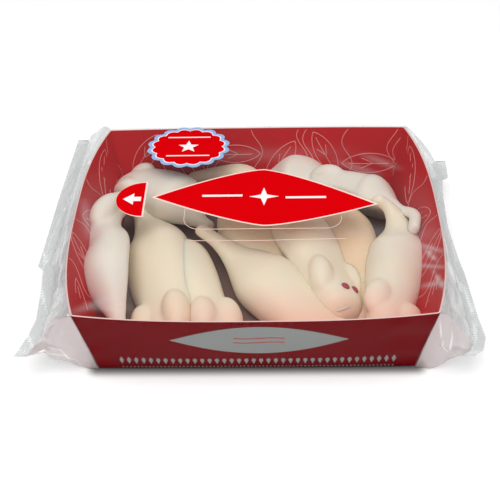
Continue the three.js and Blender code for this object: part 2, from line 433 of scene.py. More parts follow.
def makeTray():
    ups = np.linspace(0, 1, tray["stepsUp"])
    floorUp = tray["board"] / tray["height"]
    insideUps = np.linspace(1, floorUp, tray["stepsUp"])
    thin = -tray["board"]
    outside = [ringAround(up) for up in ups]
    inside = [ringAround(up, thin, tray["innerCornerRound"]) for up in insideUps]
    points = stackedRings(outside + inside, [heightAt(up) for up in (*ups, *insideUps)])
    count, rows, rim = len(outside[0]), 2 * tray["stepsUp"], tray["stepsUp"] - 1
    inner, cut, outer, floor = range(4)
    kinds = [inner]
    for row in range(rows - 1):
        kinds += [outer if row < rim else cut if row == rim else inner] * count
    kinds.append(floor)
    # the outer faces get the darker card red, which is painted shade
    board = [printedCard, cutCard, shadedOuterCard, bareBoard]
    made = meshObject("printed_card_tray", points, tubeFaces(count, rows), board, kinds)
    made.data.set_sharp_from_angle(angle=math.radians(tray["sharpAngle"]))
    return made


def onWall(wall, along, height, lift):
    # A point on a wall: along it, above its foot, and lift off its face. A wall's name starts with out or in.
    along, height = np.broadcast_arrays(np.asarray(along, float), np.asarray(height, float))
    up = height / tray["height"]
    inset = tray["lean"] * (1 - up)
    more = lift if wall.startswith("out") else -tray["board"] - lift
    side = -1.0 if wall.endswith(("Front", "Left")) else 1.0
    if wall.endswith(("Front", "Back")):
        spot = outlinePoint(along / (tray["width"] / 2 - inset), side, up, 0, more)
    else:
        spot = outlinePoint(side, along / (tray["depth"] / 2 - inset), up, more, 0)
    return np.concatenate([spot, (tray["seat"] + height)[..., None]], -1)


def wallPatch(wall, alongs, lows, highs, lift, thick, stepsUp=6):
    # A thin closed slab on a wall between two heights for each station along it
    share = np.linspace(0, 1, stepsUp)[None, :]
    along = np.repeat(np.asarray(alongs, float)[:, None], stepsUp, 1)
    height = np.asarray(lows, float)[:, None] * (1 - share) + np.asarray(highs, float)[:, None] * share
    face, back = onWall(wall, along, height, lift + thick), onWall(wall, along, height, lift)
    return slabOf(face, back)


def slabOf(face, back):
    # Two grids of the same size, closed round their border
    rows, columns = face.shape[:2]
    points = np.concatenate([face.reshape(-1, 3), back.reshape(-1, 3)])
    shift = rows * columns
    faces = []
    for i in range(rows - 1):
        for j in range(columns - 1):
            a, b = i * columns + j, (i + 1) * columns + j
            faces += [(a, b, b + 1, a + 1), (a + 1 + shift, b + 1 + shift, b + shift, a + shift)]
    border = [i * columns for i in range(rows)]
    border += [(rows - 1) * columns + j for j in range(1, columns)]
    border += [i * columns + columns - 1 for i in range(rows - 2, -1, -1)]
    border += [j for j in range(columns - 2, 0, -1)]
    for a, b in zip(border, border[1:] + border[:1]):
        faces.append((b, a, a + shift, b + shift))
    return points, faces


weldDistance = 1e-7  # metres, for corners that lie on each other


def fixNormals(made):
    shape = bmesh.new()
    shape.from_mesh(made.data)
    bmesh.ops.remove_doubles(shape, verts=shape.verts, dist=weldDistance)
    bmesh.ops.recalc_face_normals(shape, faces=shape.faces)
    shape.to_mesh(made.data)
    shape.free()
    return made


def together(shapes):
    # Several lists of points and faces as one
    points, faces, total = [], [], 0
    for shapePoints, shapeFaces in shapes:
        points.append(shapePoints)
        faces += [tuple(i + total for i in face) for face in shapeFaces]
        total += len(shapePoints)
    return np.concatenate(points), faces


def makePatches(name, patches, material):
    return fixNormals(meshObject(name, *together(patches), [material], smooth=False))


def startTree(name, sockets):
    # A geometry tree with named inputs; returns it, its input node and the identifiers of its inputs
    tree = bpy.data.node_groups.new(name, "GeometryNodeTree")
    tree.interface.new_socket(name="Geometry", in_out="INPUT", socket_type="NodeSocketGeometry")
    keys = {}
    for label, kind in sockets.items():
        keys[label] = tree.interface.new_socket(name=label, in_out="INPUT", socket_type=kind).identifier
    tree.interface.new_socket(name="Geometry", in_out="OUTPUT", socket_type="NodeSocketGeometry")
    return tree, addNode(tree, "NodeGroupInput"), keys


def finishTree(tree, geometry, material):
    solid = addNode(tree, "GeometryNodeRealizeInstances", {"Geometry": geometry})
    painted = addNode(tree, "GeometryNodeSetMaterial", {"Geometry": solid.outputs[0], "Material": material})
    addNode(tree, "NodeGroupOutput", {"Geometry": painted.outputs[0]})


def growTree(made, grower, values):
    # Runs a tree on an object and keeps the plain mesh; grower is a tree and the identifiers of its inputs
    tree, keys = grower
    growth = made.modifiers.new(tree.name, "NODES")
    growth.node_group = tree
    for label, value in values.items():
        growth[keys[label]] = value
    return bake(made)


def lineTree(name):
    # A fine bead of ink along each line
    tree, given, keys = startTree(name, {"Radius": "NodeSocketFloat", "Material": "NodeSocketMaterial"})
    paths = addNode(tree, "GeometryNodeMeshToCurve", {"Mesh": given.outputs["Geometry"]})
    ring = addNode(
        tree, "GeometryNodeCurvePrimitiveCircle", {"Resolution": 6, "Radius": given.outputs["Radius"]}
    )
    bead = addNode(
        tree,
        "GeometryNodeCurveToMesh",
        {"Curve": paths.outputs[0], "Profile Curve": ring.outputs[0], "Fill Caps": True},
    )
    finishTree(tree, bead.outputs[0], given.outputs["Material"])
    return tree, keys


def ribTree(name):
    # The same small block at even steps along each line
    tree, given, keys = startTree(
        name,
        {
            "Pitch": "NodeSocketFloat",
            "Size": "NodeSocketVector",
            "Turn": "NodeSocketVector",
            "Sides": "NodeSocketInt",
            "Material": "NodeSocketMaterial",
        },
    )
    paths = addNode(tree, "GeometryNodeMeshToCurve", {"Mesh": given.outputs["Geometry"]})
    spots = addNode(
        tree,
        "GeometryNodeCurveToPoints",
        {"Curve": paths.outputs[0], "Length": given.outputs["Pitch"]},
        mode="LENGTH",
    )
    block = addNode(
        tree, "GeometryNodeMeshCylinder", {"Vertices": given.outputs["Sides"], "Radius": 0.5, "Depth": 1.0}
    )
    sized = addNode(
        tree, "GeometryNodeTransform", {"Geometry": block.outputs["Mesh"], "Scale": given.outputs["Size"]}
    )
    turned = addNode(
        tree, "GeometryNodeTransform", {"Geometry": sized.outputs[0], "Rotation": given.outputs["Turn"]}
    )
    row = addNode(
        tree,
        "GeometryNodeInstanceOnPoints",
        {"Points": spots.outputs["Points"], "Instance": turned.outputs[0]},
    )
    finishTree(tree, row.outputs[0], given.outputs["Material"])
    return tree, keys


inkBead = lineTree("inkBead")
evenRow = ribTree("evenRow")


def pathsObject(name, paths):
    # Polylines in millimetres, as loose edges for a tree
    points, edges = [], []
    for path in paths:
        start = len(points)
        points += [tuple(np.asarray(p, float) * millimetre) for p in path]
        edges += [(start + i, start + i + 1) for i in range(len(path) - 1)]
    mesh = bpy.data.meshes.new(name)
    mesh.from_pydata(points, edges, [])
    made = bpy.data.objects.new(name, mesh)
    scene.collection.objects.link(made)
    return made


def inkLines(name, paths, radius, material):
    return growTree(pathsObject(name, paths), inkBead, {"Radius": radius * millimetre, "Material": material})


def blockRow(name, path, pitch, size, turn, sides, material):
    # The same block along one path; turn is in degrees
    values = {
        "Pitch": pitch * millimetre,
        "Size": tuple(v * millimetre for v in size),
        "Turn": tuple(math.radians(v) for v in turn),
        "Sides": sides,
        "Material": material,
    }
    return growTree(pathsObject(name, [path]), evenRow, values)


linePrint = {
    "bead": 0.34,  # radius of a line, half sunk in the card
    "leafLong": 46,
    "leafWide": 17,
    "waveSwing": 4.5,
    "waveLength": 40,
    "waveFrom": 57.5,
    "waveTo": 3,
    "lowest": 2,
    "highest": 58,
}
# Leaves along a wall, each fact as its first value and its step. The height and scale step on every
# other leaf, the turn over every three. The waves stand beside a leaf, the second beside every other one.
sideLeaves = {
    "count": 4,
    "along": (-78, 50),
    "height": (32, 7),
    "turn": (35, 47),
    "scale": (1.05, 0),
    "phase": 1.3,
    "waves": (26,),
}
leafRows = {
    "inBack": {
        "count": 6,
        "along": (-92, 37),
        "height": (37, -9),
        "turn": (58, 61),
        "scale": (0.9, 0.1),
        "phase": 0.9,
        "waves": (18, 23),
    },
    "inLeft": sideLeaves,
    "inRight": sideLeaves,
}


def leafLines(wall, along, height, turn, scale):
    # A pointed leaf with its middle rib and two short veins
    half, wide = linePrint["leafLong"] / 2 * scale, linePrint["leafWide"] / 2 * scale
    t = np.linspace(-1, 1, 25)
    edge = wide * (1 - t**2) ** 0.8
    shapes = [
        (np.concatenate([t, t[::-1]]) * half, np.concatenate([edge, -edge[::-1]])),
        (t[4:22] * half, 0.08 * edge[4:22]),
        (np.linspace(-0.1, 0.3, 6) * half, np.linspace(0.06, 0.55, 6) * wide),
        (np.linspace(-0.1, 0.3, 6) * half, -np.linspace(0.02, 0.5, 6) * wide),
    ]
    c, s = math.cos(math.radians(turn)), math.sin(math.radians(turn))
    low, high = linePrint["lowest"], linePrint["highest"]
    return [
        onWall(wall, along + c * u - s * v, np.clip(height + s * u + c * v, low, high), 0.0)
        for u, v in shapes
    ]


def waveLine(wall, along, phase):
    # A slow wave from the rim down to the foot
    h = np.linspace(linePrint["waveFrom"], linePrint["waveTo"], 30)
    swing = linePrint["waveSwing"] * np.sin(2 * math.pi * h / linePrint["waveLength"] + phase)
    return onWall(wall, along + swing, h, 0.0)


def makeLinePrint():
    paths = []
    for wall, row in leafRows.items():
        for k in range(row["count"]):
            along = row["along"][0] + row["along"][1] * k
            height = row["height"][0] + row["height"][1] * (k % 2)
            turn = row["turn"][0] + row["turn"][1] * (k % 3)
            paths += leafLines(wall, along, height, turn, row["scale"][0] + row["scale"][1] * (k % 2))
            for i, shift in enumerate(row["waves"][: 1 + k % 2]):
                paths.append(waveLine(wall, along + shift, row["phase"] * k + 0.5 * i))
    return inkLines("inner_wall_line_print", paths, linePrint["bead"], lineInk)


frontPrint = {
    "spindleFrom": -57,
    "spindleTo": 62,
    "spindleHeight": 36.5,
    "spindleHalf": 16.5,
    "ruleHalf": 17,
    "ruleApart": 5.2,
    "ruleSway": 0.6,
    "ruleThick": 0.8,
    "ink": 0.12,
    "rowFrom": -92,
    "rowTo": 94,
    "rowHeight": 10.5,
    "rowPitch": 4.9,
    "lozenge": (3.0, 8.6, 0.5),
    "teethHeight": 1.6,
    "teethPitch": 2.6,
    "tooth": (1.3, 1.5, 0.4),
    "slope": 10,  # of the wall, in degrees
}


def makeFrontPrint():
    p = frontPrint
    middle, half = (p["spindleFrom"] + p["spindleTo"]) / 2, (p["spindleTo"] - p["spindleFrom"]) / 2
    t = np.linspace(-1, 1, 61)
    bulge = p["spindleHalf"] * np.maximum(1 - np.abs(t) ** 2, 0.0005) ** 1.1
    low, high = p["spindleHeight"] - bulge, p["spindleHeight"] + bulge
    spindle = wallPatch("outFront", middle + t * half, low, high, 0.0, p["ink"])
    made = [makePatches("front_spindle_print", [spindle], greyInk)]

    s = np.linspace(-1, 1, 17)
    rules = []
    for hand in (-1, 1):
        height = p["spindleHeight"] + hand * p["ruleApart"] / 2 + p["ruleSway"] * np.sin(s * math.pi)
        low, high = height - p["ruleThick"] / 2, height + p["ruleThick"] / 2
        rules.append(wallPatch("outFront", middle + s * p["ruleHalf"], low, high, 0.1, p["ink"], stepsUp=2))
    made.append(makePatches("front_rule_print", rules, printedCard))

    upright = (90 + p["slope"], 0, 0)
    for name, height, pitch, block in (
        ("front_lozenge_row", p["rowHeight"], p["rowPitch"], p["lozenge"]),
        ("front_teeth_row", p["teethHeight"], p["teethPitch"], p["tooth"]),
    ):
        line = onWall("outFront", np.linspace(p["rowFrom"], p["rowTo"], 80), height, 0.0)
        made.append(blockRow(name, line, pitch, block, upright, 4, greyInk))
    return made


cornerTab = {
    "long": 36,
    "low": 6,
    "high": 50,
    "slant": 9,
    "topSlant": 5.4,
    "thick": 0.45,
    "start": 4,
    "clear": 2,  # gap to the end wall
}


def makeCornerTabs():
    # The end walls' tabs, folded round and glued on the inside of the side walls
    patches = []
    for wall in ("inLeft", "inRight"):
        for hand in (-1, 1):
            t = np.linspace(0, 1, 12)
            along = hand * (tray["depth"] / 2 - cornerTab["start"] - t * cornerTab["long"])
            lows = cornerTab["low"] + cornerTab["slant"] * t**1.5
            highs = cornerTab["high"] - cornerTab["topSlant"] * t
            inset = tray["lean"] * (1 - lows / tray["height"])
            limit = tray["depth"] / 2 - inset - cornerTab["clear"]
            along = np.where(np.abs(along) > limit, hand * limit, along)
            patches.append(wallPatch(wall, along, lows, highs, 0.0, cornerTab["thick"]))
    return makePatches("glued_corner_tabs", patches, printedCard)


cardTray = makeTray()
wallPrint = makeLinePrint()
frontPieces = makeFrontPrint()
cornerTabs = makeCornerTabs()
print("tray and its print made")


mouse = {
    "length": 170,
    "headWidth": 31,
    "headHeight": 21,
    "rumpWidth": 42,
    "rumpHeight": 30,
    "rumpAt": 94,
    "rumpSpread": 44,
    "neckAt": 54,
    "neckSpread": 10,
    "neckDip": 0.7,
    "taper": (94, 158),
    "tailWidth": 9,
    "tailHeight": 9,
    "snout": (0.8, 40),  # share of its width that the head has at the nose, and where it is full
    "noseRound": 15,
    "tipRound": 6,
    "belt": 0.36,
    "backRound": 0.9,
    "bellyRound": 0.6,
    "bellyFlat": 0.45,
    "bellyDish": 1.2,  # the underside sinks a little, as it set open in the mould
    "dishWidth": 0.8,
    "unevenness": 0.5,
    "bumpPitches": (13, 29),
    "bunching": 0.6,  # how much closer the stations lie at the nose and the tip
    "voxel": 0.9,
    "softenings": 26,
    "creaseAngle": 38,
    "stepsRound": 72,
    "stepsAlong": 110,
}
ear = {"at": 26, "apart": 21, "up": 16, "wide": 20, "long": 34, "high": 21, "lean": 0.5, "askew": 0}
# Ears that came out of the mould narrower, lower or askew
ownEars = {
    "face": {"at": 28, "up": 14.5, "wide": 19, "long": 31, "lean": 0.7},
    "front_middle": {"up": 11},
    "front_right": {"at": 32, "askew": 7, "wide": 26, "long": 36, "high": 20, "lean": 0.6},
}
eye = {"at": 17, "apart": 9.5, "diameter": 6.8, "height": 4.2, "sunk": 0.5, "stray": 2.5}
# How warm the tone of each mouse is; above 1 it turns amber, a painted shade for the mice that lie low in
# shadow
creamTonesAndShade = {
    "face": 0.7,
    "front_middle": 0.85,
    "front_left": 0.85,
    "front_right": 0.55,
    "left_wall": 0.1,
    "back_left": 0.25,
    "back_top": 0.1,
    "back_right": 0.1,
    "middle": 1.15,
    "between": 1.5,
    "tucked": 0.8,
}
# The fine lip that the mould leaves across a snout
lip = {
    "on": "face",
    "ends": ((55.8, -66.4, 20.9), (66.9, -62.0, 22.0)),
    "bead": 0.85,
    "steps": 24,
    "around": 8,
}
touchGap = 0.12
belowRim = 0.3  # the mice end this far under the rim

mice = {
    "face": {
        "line": [
            (60, -68, 8), (52, -41, 9), (42, -13, 10), (31, 14, 11), (24, 40, 9), (22, 68, 6),
            (24, 88, 4),
        ],
        "up": (0.58, 0, 0.81),
        "plump": 1.34,
        "earAt": 33,
        "earSize": 1,
        "eyeAt": 20,
        "eyesAside": 1.6,
    },
    "front_middle": {
        "line": [
            (73, -99, 3), (48, -84, 3), (29, -58, 3), (9, -31, 5), (-11, -9, 12), (-30, 7, 22),
            (-47, 18, 29),
        ],
        "up": (0, 0, 1),
        "plump": 1.22,
        "earAt": 18,
        "earSize": 0.75,
    },
    "front_left": {
        "line": [
            (-61, -101, 3), (-60, -66, 3), (-64, -28, 4), (-70, 0, 5), (-78, 25, 9), (-89, 46, 15),
            (-100, 64, 20),
        ],
        "up": (-0.5, 0, 0.87),
        "plump": 1.3,
        "taper": (110, 160),
        "earSize": 1.05,
    },
    "front_right": {
        "line": [
            (88, -97, 5), (91, -64, 6), (97, -34, 8), (102, -9, 10), (105, 9, 15), (105, 22, 23),
            (99, 32, 34), (87, 35, 43),
        ],
        "up": (0.35, 0, 0.94),
        "plump": 1.1,
        "taper": (107, 163),
        "earSize": 0.85,
        "snout": (0.8, 60),
    },
    "left_wall": {
        "line": [
            (-94, 52, 28), (-104, 35, 26), (-108, 20, 24), (-107, 7, 23), (-100, -12, 24),
            (-98, -38, 24), (-94, -66, 22), (-88, -99, 20),
        ],
        "up": (-0.88, 0, 0.47),
        "plump": 1.1,
        "earSize": 1,
    },
    "back_left": {
        "line": [
            (-104, 86, 2), (-98, 83, 12), (-84, 75, 17), (-68, 63, 16), (-53, 49, 15), (-35, 31, 16),
        ],
        "up": (0, 0, 1),
        "plump": 1.15,
        "earSize": 0.8,
    },
    "back_top": {
        "line": [(50, 53, 1), (48, 68, 5), (43, 84, 8), (33, 97, 8), (12, 103, 7), (-12, 105, 5)],
        "up": (0, 0, 1),
        "plump": 1.15,
    },
    "back_right": {
        "line": [
            (26, 84, 8), (46, 77, 15), (66, 68, 19), (82, 57, 18), (96, 44, 22), (107, 32, 29),
            (117, 18, 36), (116, 2, 34),
        ],
        "up": (0.25, 0.85, 0.47),
        "plump": 1,
        "taper": (84, 138),
        "earAt": 36,
        "earSize": 0.8,
    },
    "middle": {
        "line": [
            (38, -76, -10), (18, -26, -5), (1, 16, 4), (-6, 50, 17), (-12, 78, 29), (-32, 90, 26),
            (-58, 95, 17),
        ],
        "up": (0, 0, 1),
        "plump": 1.34,
        "earAt": 26,
        "earSize": 0.7,
        "eyeAt": 12,
    },
    "between": {
        "line": [
            (83, -68, -8), (82, -38, -6), (79, -6, -1), (73, 26, 4), (65, 54, 8), (56, 80, 8),
            (48, 98, 7),
        ],
        "up": (-0.6, 0, 0.8),
        "plump": 1.2,
        "earAt": 24,
        "earSize": 0.7,
    },
    "tucked": {
        "line": [(-30, -101, 3), (-35, -66, 3), (-49, -30, 3), (-61, 4, 3), (-69, 33, 3), (-80, 54, 3)],
        "up": (0.38, 0, 0.92),
        "plump": 0.94,
        "taper": (106, 160),
    },
}


def bell(x):
    return np.exp(-x * x)


def smoothRise(x, low, high):
    t = np.clip((x - low) / (high - low), 0, 1)
    return t * t * (3 - 2 * t)


def mouseSection(at, taper=mouse["taper"], snout=mouse["snout"]):
    # Half width and height of a mouse at a distance from its nose
    m = mouse
    rump = bell((at - m["rumpAt"]) / m["rumpSpread"])
    neck = m["neckDip"] * bell((at - m["neckAt"]) / m["neckSpread"])
    tail = smoothRise(at, *taper)
    fromNose = np.minimum(at / m["noseRound"], 1)
    fromTip = np.minimum((m["length"] - at) / m["tipRound"], 1)
    ends = np.sqrt(np.maximum(1 - (1 - fromNose) ** 2, 0)) * np.sqrt(np.maximum(1 - (1 - fromTip) ** 2, 0))
    slim = snout[0] + (1 - snout[0]) * smoothRise(at, 0, snout[1])
    width = slim * (m["headWidth"] + (m["rumpWidth"] - m["headWidth"]) * rump) - 2 * neck
    height = m["headHeight"] + (m["rumpHeight"] - m["headHeight"]) * rump - neck
    half = ends * (width + (m["tailWidth"] - width) * tail) / 2
    return half, ends * (height + (m["tailHeight"] - height) * tail)


def spineOf(line, up):
    # A smooth curve through the points, by its length, with a frame whose back leans towards up
    knots = np.array(line, float)
    ends = [2 * knots[0] - knots[1], *knots, 2 * knots[-1] - knots[-2]]
    curve = []
    for a, b, c, d in zip(ends, ends[1:], ends[2:], ends[3:]):
        gaps = [max(np.linalg.norm(q - p), 1e-6) ** 0.5 for p, q in ((a, b), (b, c), (c, d))]
        for t in np.linspace(0, 1, 40, endpoint=False):
            t0, t1, t2, t3 = np.cumsum([0, *gaps])
            s = t1 + t * (t2 - t1)
            a1 = (t1 - s) / (t1 - t0) * a + (s - t0) / (t1 - t0) * b
            a2 = (t2 - s) / (t2 - t1) * b + (s - t1) / (t2 - t1) * c
            a3 = (t3 - s) / (t3 - t2) * c + (s - t2) / (t3 - t2) * d
            b1 = (t2 - s) / (t2 - t0) * a1 + (s - t0) / (t2 - t0) * a2
            b2 = (t3 - s) / (t3 - t1) * a2 + (s - t1) / (t3 - t1) * a3
            curve.append((t2 - s) / (t2 - t1) * b1 + (s - t1) / (t2 - t1) * b2)
    curve = np.array([*curve, knots[-1]])
    lengths = np.concatenate([[0], np.cumsum(np.linalg.norm(np.diff(curve, axis=0), axis=1))])
    upward = np.array(up, float) / np.linalg.norm(up)

    def onCurve(length):
        return np.stack([np.interp(length, lengths, curve[:, k]) for k in range(3)], -1)

    def placed(at, aside, above):
        at, aside, above = np.broadcast_arrays(*(np.asarray(v, float) for v in (at, aside, above)))
        share = np.clip(at / mouse["length"], 0, 1)
        here = share * lengths[-1]
        along = onCurve(np.minimum(here + 1, lengths[-1])) - onCurve(np.maximum(here - 1, 0))
        along /= np.linalg.norm(along, axis=-1, keepdims=True)
        sideways = np.cross(along, upward)
        sideways /= np.linalg.norm(sideways, axis=-1, keepdims=True)
        back = np.cross(sideways, along)
        over = (at - share * mouse["length"])[..., None]
        return onCurve(here) + along * over + sideways * aside[..., None] + back * above[..., None]

    return placed


def ballGrid(rings, columns):
    # Unit ball as (points, faces): y along its axis, from -1 to 1
    turn = np.linspace(0, math.pi, rings + 1)[1:-1]
    angle = np.linspace(0, 2 * math.pi, columns, endpoint=False)
    y = -np.cos(turn)[:, None] + 0 * angle[None, :]
    x, z = np.sin(turn)[:, None] * np.cos(angle), np.sin(turn)[:, None] * np.sin(angle)
    points = np.concatenate([np.stack([x, y, z], -1).reshape(-1, 3), [[0, -1, 0], [0, 1, 0]]])
    faces = []
    for i in range(rings - 2):
        for j in range(columns):
            k = (j + 1) % columns
            faces.append((i * columns + j, (i + 1) * columns + j, (i + 1) * columns + k, i * columns + k))
    low, high, last = len(points) - 2, len(points) - 1, (rings - 2) * columns
    for j in range(columns):
        k = (j + 1) % columns
        faces += [(low, j, k), (high, last + k, last + j)]
    return points, faces


def egg(placed, box, at, aside, above, lean):
    # A ball of the box's width, length and height, whose top leans towards the tail
    points, faces = ballGrid(20, 28)
    x, y, z = (points / 2).T
    wide, long, high = box
    return placed(at + y * long + lean * (z + 0.5) * high, aside + x * wide, above + z * high), faces


def mouseBody(name, one):
    m, plump, earSize = mouse, one["plump"], one.get("earSize", 1)
    placed = spineOf(one["line"], one["up"])
    points, faces = ballGrid(m["stepsAlong"], m["stepsRound"])
    x, y, z = points.T
    turn = np.arccos(np.clip(-y, -1, 1)) / math.pi
    at = m["length"] * (turn - m["bunching"] * np.sin(2 * math.pi * turn) / (2 * math.pi))
    half, height = mouseSection(at, one.get("taper", m["taper"]), one.get("snout", m["snout"]))
    ring = np.maximum(np.hypot(x, z), 1e-9)
    beside, above = x / ring, z / ring
    middle = m["belt"] * height
    low = above < 0
    dish = m["bellyDish"] * np.maximum(1 - (beside / m["dishWidth"]) ** 2, 0)
    dish = dish * np.minimum(height / m["headHeight"], 1)
    belly = -middle * np.abs(above) ** m["bellyFlat"] + dish * (above < -0.4)
    lift = np.where(low, belly, (height - middle) * above)
    aside = np.sign(beside) * plump * half * np.abs(beside) ** np.where(low, m["bellyRound"], m["backRound"])
    fine, coarse = m["bumpPitches"]
    bumps = m["unevenness"] * np.sin(at / fine + 2 * beside + len(name)) * np.sin(at / coarse + 3 * above)
    shapes = [(placed(at, aside, middle + lift + bumps * (height / m["rumpHeight"])), faces)]
    ridge = ear | {"at": one.get("earAt", ear["at"])} | ownEars.get(name, {})
    box = [earSize * ridge[size] for size in ("wide", "long", "high")]
    for hand in (-1, 1):
        at, aside = ridge["at"] - hand * ridge["askew"], hand * ridge["apart"] * plump / 2
        shapes.append(egg(placed, box, at, aside, ridge["up"], ridge["lean"]))
    return fixNormals(meshObject("mouse_" + name, *together(shapes), [foamSugar])), placed


def remesh(made):
    # Ears and body become one skin, whose seams are softened
    cells = made.modifiers.new("cells", "REMESH")
    cells.mode, cells.voxel_size, cells.use_smooth_shade = "VOXEL", mouse["voxel"] * millimetre, True
    soft = made.modifiers.new("soften", "SMOOTH")
    soft.factor, soft.iterations = 0.5, mouse["softenings"]
    return bake(made)


def grownCopy(made, more):
    # The same shape, swollen by more millimetres, to cut its neighbours back
    copy = bpy.data.objects.new(made.name + "_grown", made.data.copy())
    scene.collection.objects.link(copy)
    mesh = copy.data
    count = len(mesh.vertices)
    points, normals = np.empty(count * 3), np.empty(count * 3)
    mesh.vertices.foreach_get("co", points)
    mesh.vertices.foreach_get("normal", normals)
    mesh.vertices.foreach_set("co", points + normals * more * millimetre)
    mesh.update()
    copy.hide_render = True
    return copy


def boxesMeet(a, b):
    cornersA, cornersB = np.array(a.bound_box), np.array(b.bound_box)
    return bool(np.all(cornersA.min(0) < cornersB.max(0)) and np.all(cornersB.min(0) < cornersA.max(0)))


def keepLargest(made):
    # Loose scraps that a cut leaves are dropped
    shape = bmesh.new()
    shape.from_mesh(made.data)
    seen, groups = set(), []
    for start in shape.verts:
        if start in seen:
            continue
        group, front = [start], [start]
        seen.add(start)
        while front:
            vertex = front.pop()
            for edge in vertex.link_edges:
                other = edge.other_vert(vertex)
                if other not in seen:
                    seen.add(other)
                    group.append(other)
                    front.append(other)
        groups.append(group)
    groups.sort(key=len)
    loose = [vertex for group in groups[:-1] for vertex in group]
    bmesh.ops.delete(shape, geom=loose, context="VERTS")
    shape.to_mesh(made.data)
    shape.free()
    return made


def trayRoom():
    # The space inside the walls, a little clear of them
    clear = -tray["board"] - touchGap
    ups = np.linspace((tray["board"] + touchGap) / tray["height"], 1, tray["stepsUp"])
    rings = [ringAround(up, clear) for up in ups]
    points = stackedRings(rings, [heightAt(up) - belowRim * (up == 1) for up in ups])
    room = fixNormals(meshObject("tray_room", points, tubeFaces(len(rings[0]), len(rings)), []))
    room.hide_render = True
    return room


def eyesOf(body, placed, one):
    # Eyes of set icing, each where the skin still shows
    eyeAt = one.get("eyeAt", eye["at"])
    headTop = mouseSection(np.array([float(eyeAt)]))[1][0]
    drop = 1 - math.cos(math.asin(eye["apart"] / mouse["headWidth"]))
    guess = headTop * (1 - (1 - mouse["belt"]) * drop)
    made = []
    for hand in (-1, 1):
        wanted = placed(eyeAt, hand * eye["apart"] / 2 + one.get("eyesAside", 0), guess)
        found, spot, normal, _ = body.closest_point_on_mesh(Vector(wanted * millimetre))
        if not found or (spot / millimetre - Vector(wanted)).length > eye["stray"]:
            continue
        points, faces = ballGrid(12, 20)
        turned = normal.to_track_quat("Z", "Y").to_matrix()
        size = Vector((eye["diameter"], eye["diameter"], eye["height"])) / 2
        centre = spot / millimetre - normal * eye["sunk"]
        points = [centre + turned @ Vector(point * np.array(size)) for point in points]
        made.append(fixNormals(meshObject(f"{body.name}_eye_{hand}", points, faces, [eyeIcing])))
    return made


def lipLine(body):
    # A thin raised line across the tip of the snout
    steps, around = lip["steps"], lip["around"]
    across = np.linspace(-0.5, 0.5, steps)
    spine = []
    first, last = (Vector(end) for end in lip["ends"])
    for share in across:
        _, spot, normal, _ = body.closest_point_on_mesh(first.lerp(last, share + 0.5) * millimetre)
        spine.append((np.array(spot) / millimetre, np.array(normal)))
    rings = []
    for i, (spot, normal) in enumerate(spine):
        before, after = spine[max(i - 1, 0)][0], spine[min(i + 1, steps - 1)][0]
        along = (after - before) / np.linalg.norm(after - before)
        aside = np.cross(along, normal)
        thick = lip["bead"] * max(1 - (2 * across[i]) ** 4, 0.15)
        for turn in np.linspace(0, 2 * math.pi, around, endpoint=False):
            rings.append(spot + thick * (math.cos(turn) * aside + math.sin(turn) * normal))
    return fixNormals(meshObject(body.name + "_lip", rings, tubeFaces(around, steps), [foamSugar]))


def makeMice():
    room = trayRoom()
    grown, finished = [], []
    for name, one in mice.items():
        body, placed = mouseBody(name, one)
        remesh(body)
        swollen = grownCopy(body, touchGap)
        inside = body.modifiers.new("room", "BOOLEAN")
        inside.operation, inside.solver, inside.object = "INTERSECT", "MANIFOLD", room
        for other in grown:
            if boxesMeet(body, other):
                cut = body.modifiers.new("cut", "BOOLEAN")
                cut.operation, cut.solver, cut.object = "DIFFERENCE", "MANIFOLD", other
        bake(body)
        keepLargest(body)
        body.data.set_sharp_from_angle(angle=math.radians(mouse["creaseAngle"]))
        details = eyesOf(body, placed, one)
        if name == lip["on"]:
            details.append(lipLine(body))
        joinInto(body, details)
        body.name = body.data.name = "sugar_mouse_" + name
        addValues(body, "cream", np.full(len(body.data.vertices), creamTonesAndShade[name]))
        finished.append(body)
        grown.append(swollen)
        print("mouse", name, len(body.data.polygons), "faces")
    for extra in (*grown, room):
        bpy.data.objects.remove(extra)
    return dict(zip(mice, finished))


sugarMice = makeMice()
print("mice made")


film = {
    "off": 0.65,  # the sheet lies this far outside the card
    "sealWidth": 9,
    "sealHeight": 25,
    "droop": 1.4,
    "swell": 0.4,  # the top sheet stays high before it drops to the seal
    "stepsAcross": 90,
    "stepsLong": 150,
    "stepsTall": 44,
    "stepsOut": 52,
    "stepsSeal": 6,
    "tooth": 0.7,
    # Painted highlights on the sheet on top: milky lines where it is creased and would catch the light;
    # width, how milky, and the lines
    "paintedGlints": [
        (2.2, 0.2, [((112, -40), (131, -50)), ((110, -64), (130, -66)), ((111, -86), (127, -80))]),
        (1.2, 0.35, [((118, -46), (124, -60)), ((121, -70), (126, -92))]),
        (7, 0.07, [((60, -26), (128, -30)), ((66, -46), (126, -52))]),
        (4, 0.12, [((62, 62), (92, 44)), ((84, 70), (108, 52))]),
        (3, 0.16, [((-128, 14), (-118, -30)), ((-118, -108), (-92, -92)), ((-106, -104), (-84, -104))]),
        (9, 0.05, [((-60, 70), (70, 74)), ((-104, -60), (-80, -100))]),
        (13, 0.045, [((116, -92), (120, 30)), ((-122, -70), (-124, 40))]),
    ],
    "tuckReach": (50, 30),  # how far the tucked-in front reaches out, and half its height
    "ribPitch": 1.7,
    "ribSize": (0.5, 0.5, 8.0),
}
